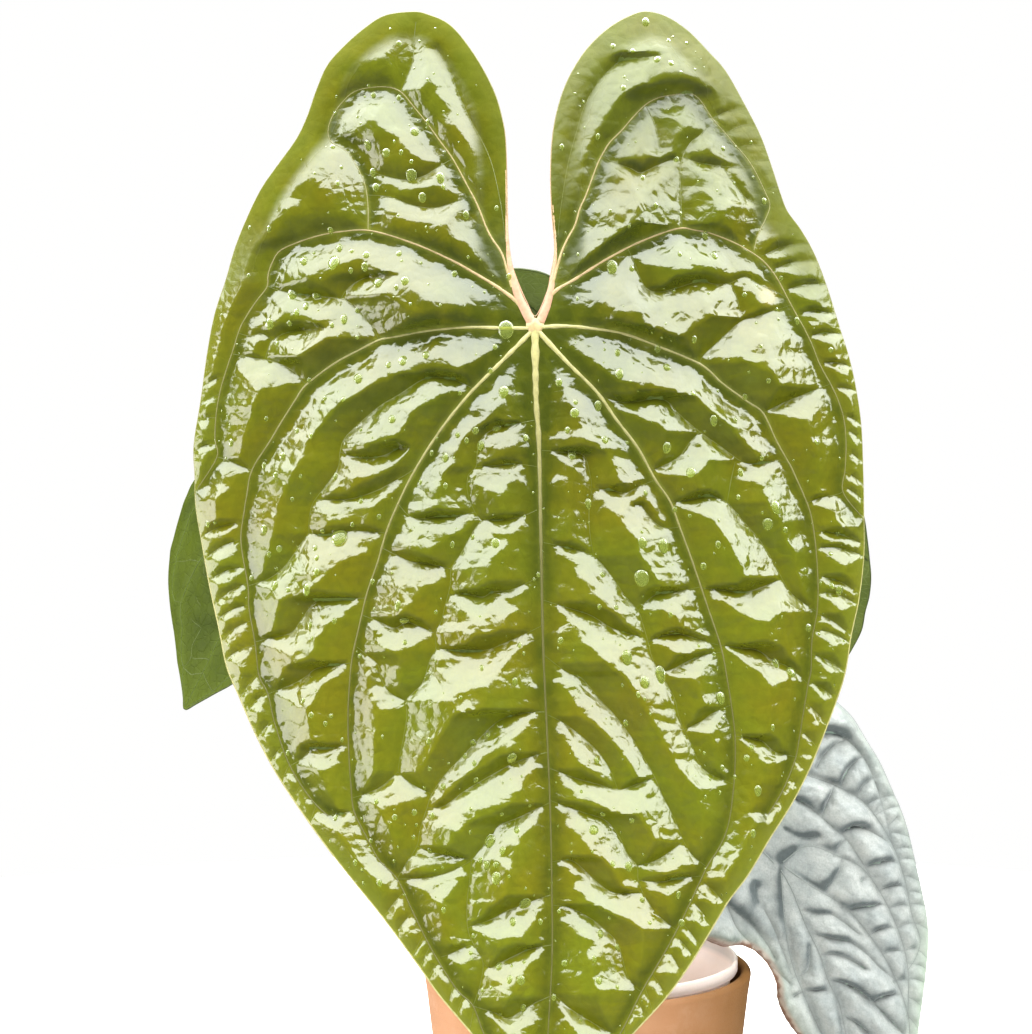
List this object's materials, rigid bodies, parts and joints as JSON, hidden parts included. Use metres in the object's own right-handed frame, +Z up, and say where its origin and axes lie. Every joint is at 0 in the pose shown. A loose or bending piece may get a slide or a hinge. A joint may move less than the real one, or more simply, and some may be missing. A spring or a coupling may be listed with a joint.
{
  "type": "potted anthurium",
  "caption": "Potted foliage anthurium: heart-shaped quilted leaves on slim stalks from a short crown, in a plain nursery pot standing in a terracotta cover pot.",
  "frame": {"origin": "centre of the cover pot's flat foot, on the surface that it stands on", "axes": "+Z up along the pot's axis; the large front leaf faces -Y, and +X is to its viewer's right"},
  "size_m": [0.3035, 0.3836, 0.4439],
  "materials": {
    "terracotta": "unglazed, fine-grained, matt",
    "pale_plastic": "thin, whitish and slightly translucent, satin",
    "bark_mix": "loose bark, fibre and perlite, matt",
    "stem_bark": "fibrous, matt",
    "glossy_leaf": "waxy, glossy, deeply quilted between pale veins",
    "dark_leaf": "waxy, half glossy",
    "silver_leaf": "silver-blue, matt to satin, quilted",
    "stalk_green": "smooth, satin"
  },
  "bodies": {
    "root": {"outer_pot": "terracotta", "liner_pot": "pale_plastic", "potting_mix": "bark_mix", "crown": "stem_bark", "blade_front": "glossy_leaf", "blade_left": "dark_leaf", "blade_right": "dark_leaf", "blade_silver": "silver_leaf", "petiole_front": "stalk_green", "petiole_left": "stalk_green", "petiole_right": "stalk_green", "petiole_silver": "stalk_green"}
  },
  "joints": []
}
